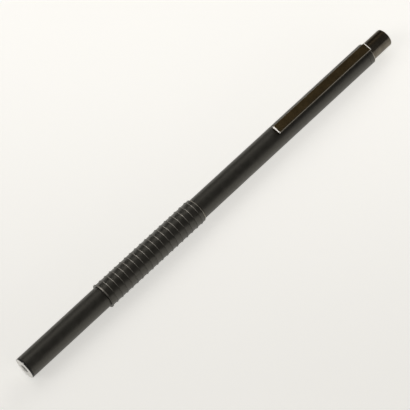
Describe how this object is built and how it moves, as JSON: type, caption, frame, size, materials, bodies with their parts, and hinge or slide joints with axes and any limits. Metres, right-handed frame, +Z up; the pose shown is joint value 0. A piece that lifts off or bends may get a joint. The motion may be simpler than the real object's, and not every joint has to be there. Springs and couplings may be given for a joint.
{
  "type": "retractable ballpoint pen",
  "caption": "Slim matte black retractable ballpoint pen with a ringed grip, a folded pocket clip and a push button.",
  "frame": {"origin": "Middle of the pen's box in plan, at the height of the lowest point of the grip's front ring.", "axes": "+X runs along the pen from the nose to the push button, +Z points up through the clip, and +Y completes the right-handed frame."},
  "size_m": [0.1426, 0.0078, 0.0084],
  "materials": {
    "barrel_black": "matte black coat on metal tube",
    "grip_black": "satin black coat on turned metal, with the fins' edges rubbed a little brighter",
    "dark_chrome": "glossy brown-black chrome",
    "bare_steel": "turned bare metal",
    "spring_steel": "drawn steel",
    "brass": "turned brass",
    "rubber": "matte",
    "white_plastic": "moulded, matte",
    "grey_plastic": "moulded, matte",
    "ink": "wet paste"
  },
  "bodies": {
    "rear_section": {"rear_barrel": "barrel_black", "end_ring": "dark_chrome", "thread_insert": "brass", "cam_body": "grey_plastic", "cam_retainer": "spring_steel"},
    "front_section": {"nose_bush": "bare_steel", "front_barrel": "barrel_black", "grip_front_ring": "grip_black", "grip_sleeve": "grip_black", "grip_rear_ring": "grip_black", "connector_tube": "brass", "o_ring": "rubber", "return_spring": "spring_steel"},
    "button": {"push_button": "dark_chrome", "thrust_cam": "white_plastic"},
    "refill": {"refill_nozzle": "bare_steel", "writing_ball": "bare_steel", "refill_tube": "spring_steel", "ink_column": "ink", "refill_collar": "brass", "refill_plug": "grey_plastic", "rotor_cam": "white_plastic"},
    "clip": {"clip": "dark_chrome"}
  },
  "joints": [
    {"name": "button_press", "type": "slide", "parent": "rear_section", "child": "button", "axis": [-1, 0, 0], "range_m": [0, 0.005], "stiffness_N_per_m": 300, "springref_m": -0.006},
    {"name": "refill_advance", "type": "slide", "parent": "rear_section", "child": "refill", "axis": [-1, 0, 0], "range_m": [0, 0.005], "deforming": ["return_spring"]},
    {"name": "front_unscrew", "type": "slide", "parent": "rear_section", "child": "front_section", "axis": [-1, 0, 0], "range_m": [0, 0.075]},
    {"name": "clip_flex", "type": "hinge", "parent": "rear_section", "child": "clip", "pos_m": [0.06351, 0, 0.0072], "axis": [0, 1, 0], "range_deg": [0, 3], "stiffness_Nm_per_rad": 1, "springref_deg": -1.15}
  ],
  "couplings": [
    {"joint": "refill_advance", "follows": "button_press", "ratio": 1}
  ]
}
